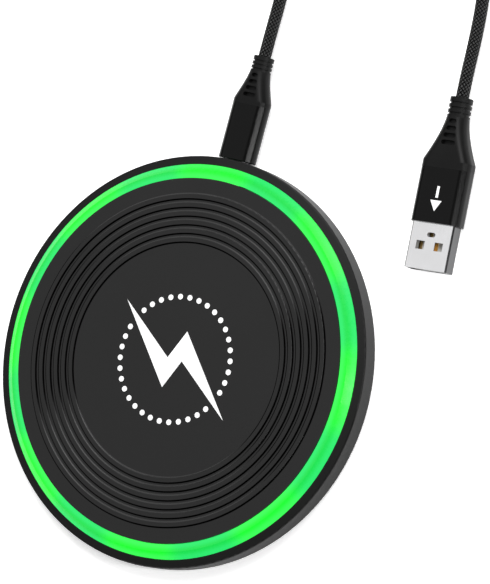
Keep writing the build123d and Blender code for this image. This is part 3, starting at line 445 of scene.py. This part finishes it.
def wound_wire(name, color):
    """Enamelled copper: slow changes of the enamel's colour and fine draw lines."""
    g = Graph(name)
    place = g.place()
    enamel = g.noise(place, 240.0)
    lines = g.noise(place, 5000.0, 4.0)
    return g.set(
        Base_Color=g.mix(g.ramp(enamel, 0.3, 0.7), tint(color, 0.75), tint(color, 1.15)),
        Metallic=0.9,
        Roughness=g.ramp(lines, 0.3, 0.7, 0.25, 0.38),
        Coat_Weight=0.5,
        Coat_Roughness=0.1,
        Normal=g.bump(lines, 0.000005, 0.3),
    )


def sintered(name, color, roughness):
    """Fired ceramic or ferrite: pits, chips and pale dust."""
    g = Graph(name)
    place = g.place()
    pits = g.ramp(g.cells(place, 1900.0), 0.1, 0.35)
    dust = g.noise(place, 700.0, 5.0)
    return g.set(
        Base_Color=g.mix(g.ramp(dust, 0.35, 0.75), tint(color, 0.8), tint(color, 1.6)),
        Roughness=g.ramp(dust, 0.3, 0.7, roughness - 0.06, roughness + 0.08),
        Normal=g.bump(pits, 0.00003, 0.5),
    )


def foamed(name, color):
    """Closed-cell foam: a skin of small open bubbles."""
    g = Graph(name)
    place = g.place()
    bubbles = g.ramp(g.cells(place, 2400.0), 0.1, 0.5)
    # Darker in the pits of the bubbles: painted shade.
    return g.set(
        Base_Color=g.mix(bubbles, tint(color, 0.5), color),
        Roughness=g.ramp(bubbles, 0.0, 1.0, 0.8, 0.95),
        Normal=g.bump(bubbles, 0.00006, 0.8),
    )


def braided(name, color, crown_highlight):
    """Two families of filament bundles that pass over and under each other."""
    g = Graph(name)
    along, around, _ = g.split(g.unwrapped("braid"))[:3]
    first = g.math("ADD", around, along)
    second = g.math("SUBTRACT", around, along)
    odd = g.math("PINGPONG", g.math("ADD", g.math("FLOOR", first), g.math("FLOOR", second)), 1.0)
    share_first = g.math("FRACT", first)
    share_second = g.math("FRACT", second)

    def either(when_even, when_odd):
        swing = g.math("SUBTRACT", when_odd, when_even)
        return g.math("MULTIPLY_ADD", swing, odd, when_even)

    across = either(share_first, share_second)
    lengthwise = either(share_second, share_first)
    flank = g.ramp(g.math("ABSOLUTE", g.math("SUBTRACT", across, 0.5)), 0.5, 0.34)
    dive = g.ramp(g.math("ABSOLUTE", g.math("SUBTRACT", lengthwise, 0.5)), 0.5, 0.2)
    top = g.math("MULTIPLY", flank, dive)
    filament = g.math("ABSOLUTE", g.math("SINE", g.math("MULTIPLY", across, 5 * math.pi)))
    fuzz = g.noise(g.place(), 6000.0, 4.0)
    relief = g.math("MULTIPLY_ADD", top, 1.0, g.math("MULTIPLY", filament, 0.22))
    shine = g.math("MULTIPLY", top, g.ramp(filament, 0.0, 1.0, 0.65, 1.0))
    # The tops of the bundles take the lighter colour, a painted highlight, while the gaps between
    # them keep the darker one.
    return g.set(
        Base_Color=g.mix(shine, g.mix(fuzz, tint(color, 0.6), color), crown_highlight),
        Roughness=g.ramp(shine, 0.0, 1.0, 0.7, 0.30),
        Specular_IOR_Level=g.ramp(shine, 0.25, 0.9, 0.0, 0.45),
        Normal=g.bump(relief, 0.00016, 0.9, g.bump(fuzz, 0.00001, 0.3)),
    )


def strap(name, color):
    """Woven strap: a close plain weave with a soft nap."""
    g = Graph(name)
    along, across, _ = g.split(g.unwrapped("weave"))[:3]
    warp = g.math("ABSOLUTE", g.math("SINE", g.math("MULTIPLY", across, math.pi / WEAVE_PITCH)))
    weft = g.math("ABSOLUTE", g.math("SINE", g.math("MULTIPLY", along, math.pi / WEAVE_PITCH)))
    weave = g.math("MULTIPLY", warp, weft)
    nap = g.noise(g.place(), 4200.0, 5.0, 0.7)
    # Lighter where the threads pass over and darker between them, which is painted light and shade
    # of the weave, mixed with the nap's random tone.
    return g.set(
        Base_Color=g.mix(g.math("MULTIPLY", weave, nap), tint(color, 0.5), tint(color, 1.7)),
        Roughness=g.ramp(nap, 0.3, 0.7, 0.8, 0.95),
        Sheen_Weight=0.4,
        Sheen_Roughness=0.5,
        Normal=g.bump(weave, 0.00012, 0.8, g.bump(nap, 0.00005, 0.5)),
    )


FINISHES = {
    "housing_metal": lacquer("housing_finish", (0.005, 0.005, 0.005), 0.44, 0.17),
    "lit_ring": lit_ring("lit_ring_finish"),
    "silicone": ribbed_mat("silicone_finish", (0.004, 0.004, 0.004), 0.40, 0.34),
    "white_print": printed("print_finish", (0.93, 0.93, 0.93)),
    "black_abs": moulded("abs_finish", (0.020, 0.020, 0.021), 0.5),
    "foot_rubber": moulded("foot_finish", (0.014, 0.014, 0.014), 0.75, grain=3500.0, specular=0.3),
    "screw_steel": metal("screw_finish", (0.52, 0.52, 0.53), 0.3),
    "white_board": circuit_board("white_board_finish", (0.78, 0.79, 0.77), (0.62, 0.63, 0.60)),
    "led_package": moulded("led_finish", (0.80, 0.80, 0.62), 0.3, grain=2500.0, spread=0.06),
    "ribbon_film": moulded("ribbon_finish", (0.45, 0.22, 0.05), 0.25, grain=900.0, specular=0.6),
    "green_board": circuit_board("board_finish", (0.010, 0.085, 0.030), (0.045, 0.220, 0.085)),
    "chip_epoxy": moulded("chip_finish", (0.018, 0.018, 0.018), 0.45, grain=5000.0),
    "capacitor_ceramic": sintered("capacitor_finish", (0.36, 0.25, 0.15), 0.4),
    "crystal_can": metal("crystal_finish", (0.70, 0.68, 0.62), 0.25),
    "ferrite": sintered("ferrite_finish", (0.035, 0.033, 0.032), 0.5),
    "foam": foamed("foam_finish", (0.05, 0.05, 0.05)),
    "glue_film": moulded("glue_finish", (0.60, 0.52, 0.30), 0.2, grain=700.0),
    "copper_wire": wound_wire("copper_finish", (0.72, 0.30, 0.12)),
    "bead_glass": moulded("bead_finish", (0.10, 0.16, 0.10), 0.15, grain=1500.0),
    "plug_steel": folded_shell("steel_finish", (0.84, 0.84, 0.85), (0.085, 0.085, 0.087)),
    "black_nylon": moulded("nylon_finish", (0.016, 0.016, 0.016), 0.4),
    "white_nylon": moulded("tongue_finish", (0.72, 0.72, 0.70), 0.4, spread=0.05),
    "gold_contacts": metal("gold_finish", (0.95, 0.62, 0.22), 0.2, (1.0, 0.08, 1.0)),
    "sleeve_metal": lacquer("sleeve_finish", (0.003, 0.003, 0.003), 0.20, 0.12),
    "relief_tpe": moulded(
        "relief_finish", (0.006, 0.006, 0.006), 0.36, grain=4200.0, specular=0.10,
    ),
    "braid": braided("braid_finish", (0.001, 0.001, 0.001), (0.013, 0.013, 0.013)),
    "tie_fabric": strap("strap_finish", (0.014, 0.014, 0.015)),
}
NODE_SLOTS = {
    "housing_metal": ["housing"],
    "lit_ring": ["light_ring"],
    "silicone": ["grip_mat"],
    "white_print": ["charge_mark", "plug_a_mark"],
    "black_abs": ["top_plate", "base_cover"],
    "foot_rubber": ["foot_ring"],
    "screw_steel": ["case_screws", "board_screws"],
    "white_board": ["led_board"],
    "led_package": ["led_chips"],
    "ribbon_film": ["led_ribbon"],
    "green_board": ["main_board", "plug_c_board"],
    "chip_epoxy": ["control_chip", "power_transistors", "chip_resistors"],
    "capacitor_ceramic": ["resonant_capacitors", "input_capacitors"],
    "crystal_can": ["crystal"],
    "ferrite": ["power_inductor", "ferrite_plate"],
    "foam": ["foam_tape"],
    "glue_film": ["coil_adhesive"],
    "copper_wire": ["transmitter_coil", "coil_leads"],
    "bead_glass": ["thermistor"],
    "plug_steel": ["port_shell", "plug_c_shell", "plug_a_shell"],
    "black_nylon": ["port_tongue", "plug_c_insulator"],
    "white_nylon": ["plug_a_tongue"],
    "gold_contacts": ["port_contacts", "plug_c_contacts", "plug_a_contacts"],
    "sleeve_metal": ["plug_c_sleeve", "plug_a_sleeve"],
    "relief_tpe": ["plug_c_relief", "plug_a_relief", "plug_a_core"],
}
for slot, names in NODE_SLOTS.items():
    for name in names:
        nodes[name].data.materials.clear()
        nodes[name].data.materials.append(FINISHES[slot])

# ---------------------------------------------------------------- braided cable
BRAID_STRANDS = 10          # bundles in each direction round the cable
BRAID_CELL = 1.1            # along the cable
BRAID_DEPTH = 0.16          # from the crowns down to the gaps
BRAID_COLUMNS = 60          # faces round the cable
BUNDLE_FULLNESS = 0.6       # below 1 the bundles are flatter on top and steeper at their sides
BUNDLE_MIDDLE = 0.55        # height of a bundle between its crowns
BUNDLE_SWING = 0.45         # how far it rises over another and falls under the next
FINE_STEP = 0.25            # between rings of faces near the cable's ends
COIL_STEP = 0.4             # and in the coil
SEEN_LENGTH = 66.0          # at each end, where the cable is seen from close by


def braid_height(along, around):
    """0 in the gaps to 1 on the crowns, where a bundle passes over another."""
    first = around + along
    second = around - along
    over = math.sin(math.pi * second) * (-1) ** math.floor(first)
    under = -math.sin(math.pi * first) * (-1) ** math.floor(second)
    full_first = math.sin(math.pi * (first % 1)) ** BUNDLE_FULLNESS
    full_second = math.sin(math.pi * (second % 1)) ** BUNDLE_FULLNESS
    return max(
        full_first * (BUNDLE_MIDDLE + BUNDLE_SWING * over),
        full_second * (BUNDLE_MIDDLE + BUNDLE_SWING * under),
    )


def ring_places(total):
    """Distances along the cable: close together at its ends, wider apart in the coil."""
    places = [0.0]
    while places[-1] < total - FINE_STEP:
        near_end = min(places[-1], total - places[-1]) < SEEN_LENGTH
        places.append(places[-1] + (FINE_STEP if near_end else COIL_STEP))
    places[-1] = total
    return places


def cable_mesh(line):
    """A tube along the line with the braid's relief in its surface, unwrapped along and around."""
    distances = [0.0]
    for here, after in zip(line, line[1:]):
        distances.append(distances[-1] + (after - here).length / MM)
    mesh = bmesh.new()
    layer = mesh.loops.layers.uv.new("braid")
    rings = []
    places = ring_places(distances[-1])
    part = 0
    for place in places:
        while part < len(line) - 2 and distances[part + 1] < place:
            part += 1
        share = (place - distances[part]) / (distances[part + 1] - distances[part])
        centre = line[part].lerp(line[part + 1], share)
        before = line[max(0, part - 1)]
        after = line[min(len(line) - 1, part + 2)]
        tangent_in = (line[part + 1] - before).normalized()
        tangent_out = (after - line[part]).normalized()
        tangent = tangent_in.lerp(tangent_out, share).normalized()
        side = tangent.cross(Vector((0, 0, 1))).normalized()
        up = side.cross(tangent)
        ring = []
        for column in range(BRAID_COLUMNS):
            around = column * BRAID_STRANDS / BRAID_COLUMNS
            turn = math.tau * column / BRAID_COLUMNS - math.pi / 2
            height = braid_height(place / BRAID_CELL, around)
            radius = (CABLE_DIAMETER / 2 - BRAID_DEPTH * (1 - height)) * MM
            outward = side * math.cos(turn) + up * math.sin(turn)
            ring.append(mesh.verts.new(centre + outward * radius))
        rings.append(ring)
    for index, (ring, following) in enumerate(zip(rings, rings[1:])):
        for column in range(BRAID_COLUMNS):
            beside = (column + 1) % BRAID_COLUMNS
            corners = (ring[column], ring[beside], following[beside], following[column])
            face = mesh.faces.new(corners)
            face.smooth = True
            rows = (index, index, index + 1, index + 1)
            columns = (column, column + 1, column + 1, column)
            for loop, row, place_round in zip(face.loops, rows, columns):
                around = place_round * BRAID_STRANDS / BRAID_COLUMNS
                loop[layer].uv = (places[row] / BRAID_CELL, around)
    mesh.faces.new(rings[0][::-1])
    mesh.faces.new(rings[-1])
    bmesh.ops.recalc_face_normals(mesh, faces=mesh.faces)
    return mesh


def piece(name, mesh, material, body):
    """A new visible piece that rides on a body and takes its finish from a material slot."""
    data = bpy.data.meshes.new(name)
    mesh.to_mesh(data)
    mesh.free()
    data.materials.append(FINISHES[material])
    obj = bpy.data.objects.new(name, data)
    scene.collection.objects.link(obj)
    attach(obj, body)
    return obj


cable_line = route_line(LEAD_ROUTE + coil_route() + TAIL_ROUTE)
cable = piece("braided_cable", cable_mesh(cable_line), "braid", "lead")
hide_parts("cable_lead", "cable_coil", "cable_tail")

# ---------------------------------------------------------------- strap round the coil
STRAP_HALF_WIDTH = 4.0
STRAP_THICKNESS = 0.7
STRAP_TAB = 0.55            # the hooked end, lying on the strap
STRAP_TAB_GAP = 0.01
STRAP_FLOOR_GAP = 0.04
STRAP_CORNER = 1.5
STRAP_CORNER_STEPS = 6
STRAP_INNER = 13.32         # radius of the strap's inside, from the coil's centre
STRAP_OUTER = 28.72
STRAP_TOP = 7.84
STRAP_COLUMNS = 16          # faces across the strap
EDGE_START = 0.9            # share of the half width where the woven edge starts to thin
EDGE_THINNING = 0.35
TAB_SPAN = slice(2, 12)     # the part of the outline that the tab covers


def strap_loop(grow):
    """Corner-rounded outline of the strap's section, as (radius, height), grown outwards."""
    low = (STRAP_INNER - grow, STRAP_THICKNESS + STRAP_FLOOR_GAP - grow)
    high = (STRAP_OUTER + grow, STRAP_TOP + grow)
    corner = STRAP_CORNER + grow
    outline = []
    for centre, start in (
        ((high[0] - corner, high[1] - corner), 0),
        ((low[0] + corner, high[1] - corner), 90),
        ((low[0] + corner, low[1] + corner), 180),
        ((high[0] - corner, low[1] + corner), 270),
    ):
        for step in range(STRAP_CORNER_STEPS + 1):
            angle = math.radians(start + 90 * step / STRAP_CORNER_STEPS)
            outline.append((
                centre[0] + corner * math.cos(angle),
                centre[1] + corner * math.sin(angle),
            ))
    return outline


def band_mesh(inside, outside, closed):
    """A band between two outlines, swept round the coil's centre with a rounded woven edge."""
    mesh = bmesh.new()
    layer = mesh.loops.layers.uv.new("weave")
    count = len(inside)
    rows = []
    for column in range(STRAP_COLUMNS + 1):
        offset = STRAP_HALF_WIDTH * (2 * column / STRAP_COLUMNS - 1)
        past_start = max(0.0, abs(offset) / STRAP_HALF_WIDTH - EDGE_START)
        edge = 1 - EDGE_THINNING * past_start / (1 - EDGE_START)
        row = []
        for near, far in zip(inside, outside):
            middle = ((near[0] + far[0]) / 2, (near[1] + far[1]) / 2)
            pair = []
            for radius, height in (near, far):
                radius = middle[0] + (radius - middle[0]) * edge
                height = middle[1] + (height - middle[1]) * edge
                angle = math.radians(TIE_ANGLE) + offset / radius
                pair.append(mesh.verts.new((
                    (COIL_CENTRE[0] + radius * math.cos(angle)) * MM,
                    (COIL_CENTRE[1] + radius * math.sin(angle)) * MM,
                    height * MM,
                )))
            row.append(pair)
        rows.append(row)
    lengths = [0.0]
    for here, after in zip(outside, outside[1:]):
        lengths.append(lengths[-1] + math.dist(here, after))

    def quad(corners, places):
        face = mesh.faces.new(corners)
        face.smooth = True
        for loop, place in zip(face.loops, places):
            loop[layer].uv = place

    spans = count if closed else count - 1
    width = 2 * STRAP_HALF_WIDTH / STRAP_COLUMNS
    for column in range(STRAP_COLUMNS):
        for span in range(spans):
            after = (span + 1) % count
            reach = lengths[span] + math.dist(outside[span], outside[after])
            places = (
                (lengths[span], column * width),
                (lengths[span], (column + 1) * width),
                (reach, (column + 1) * width),
                (reach, column * width),
            )
            for side in (0, 1):
                quad((
                    rows[column][span][side],
                    rows[column + 1][span][side],
                    rows[column + 1][after][side],
                    rows[column][after][side],
                ), places)
        if not closed:
            for span in (0, count - 1):
                quad((
                    rows[column][span][0],
                    rows[column + 1][span][0],
                    rows[column + 1][span][1],
                    rows[column][span][1],
                ), ((0, 0), (width, 0), (width, 0.5), (0, 0.5)))
    for row in (rows[0], rows[-1]):
        for span in range(spans):
            after = (span + 1) % count
            corners = (row[span][0], row[after][0], row[after][1], row[span][1])
            quad(corners, ((0, 0), (1, 0), (1, 0.5), (0, 0.5)))
    bmesh.ops.recalc_face_normals(mesh, faces=mesh.faces)
    return mesh


strap_band = band_mesh(strap_loop(0.0), strap_loop(STRAP_THICKNESS), closed=True)
tie = piece("cable_strap", strap_band, "tie_fabric", "lead")
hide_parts("cable_tie")
tab_band = band_mesh(
    strap_loop(STRAP_THICKNESS + STRAP_TAB_GAP)[TAB_SPAN],
    strap_loop(STRAP_THICKNESS + STRAP_TAB)[TAB_SPAN],
    closed=False,
)
tab = piece("cable_strap_tab", tab_band, "tie_fabric", "lead")

# ---------------------------------------------------------------- floor and light
FLOOR_GLOW = 0.50           # a back-lit table, which keeps the floor white round the object
FLOOR_HALF = 3.0            # metres
FLOOR_DROP = 0.00005        # metres below the object's foot
FLOOR_SQUARES = 8
WORLD_LEVEL = 0.10
# Name, place, aim, (width, height) in metres and power in watts.
LIGHTS = [
    ("overhead", (-0.72, 0.05, 1.12), (0.0, 0.05, 0.0), (1.4, 1.5), 5.2),
    ("key", (0.15, 1.20, 1.35), (0.0, 0.0, 0.0), (1.2, 1.2), 38.0),
    ("edge", (0.75, 0.10, 0.55), (0.0, 0.05, 0.0), (0.07, 0.9), 4.5),
]


def make_floor():
    """A plain white table top."""
    mesh = bmesh.new()
    bmesh.ops.create_grid(
        mesh, x_segments=FLOOR_SQUARES, y_segments=FLOOR_SQUARES, size=FLOOR_HALF
    )
    for vert in mesh.verts:
        vert.co.z = -FLOOR_DROP
    data = bpy.data.meshes.new("floor")
    mesh.to_mesh(data)
    mesh.free()
    g = Graph("floor_paper")
    grain = g.noise(g.place(), 900.0)
    g.set(
        Base_Color=g.mix(grain, (0.90, 0.90, 0.90), (0.92, 0.92, 0.92)),
        Roughness=0.9,
        Specular_IOR_Level=0.1,
        Emission_Color=(1.0, 1.0, 1.0),
        Emission_Strength=FLOOR_GLOW,
    )
    data.materials.append(g.material)
    floor = bpy.data.objects.new("floor", data)
    scene.collection.objects.link(floor)


def add_light(name, place, aim, size, power):
    """A rectangular soft light: size is (width, height) in metres and power is in watts."""
    data = bpy.data.lights.new(name, "AREA")
    data.shape = "RECTANGLE"
    data.size, data.size_y = size
    data.energy = power
    light = bpy.data.objects.new(name, data)
    scene.collection.objects.link(light)
    light.location = place
    light.rotation_mode = "QUATERNION"
    light.rotation_quaternion = (Vector(aim) - Vector(place)).to_track_quat("-Z", "Y")


def make_world(level):
    """An even, dim surround."""
    world = bpy.data.worlds.new("studio")
    world.use_nodes = True
    sky = world.node_tree.nodes["Background"]
    sky.inputs["Color"].default_value = (level, level, level, 1.0)
    sky.inputs["Strength"].default_value = 1.0
    scene.world = world


make_floor()
make_world(WORLD_LEVEL)
for light in LIGHTS:
    add_light(*light)
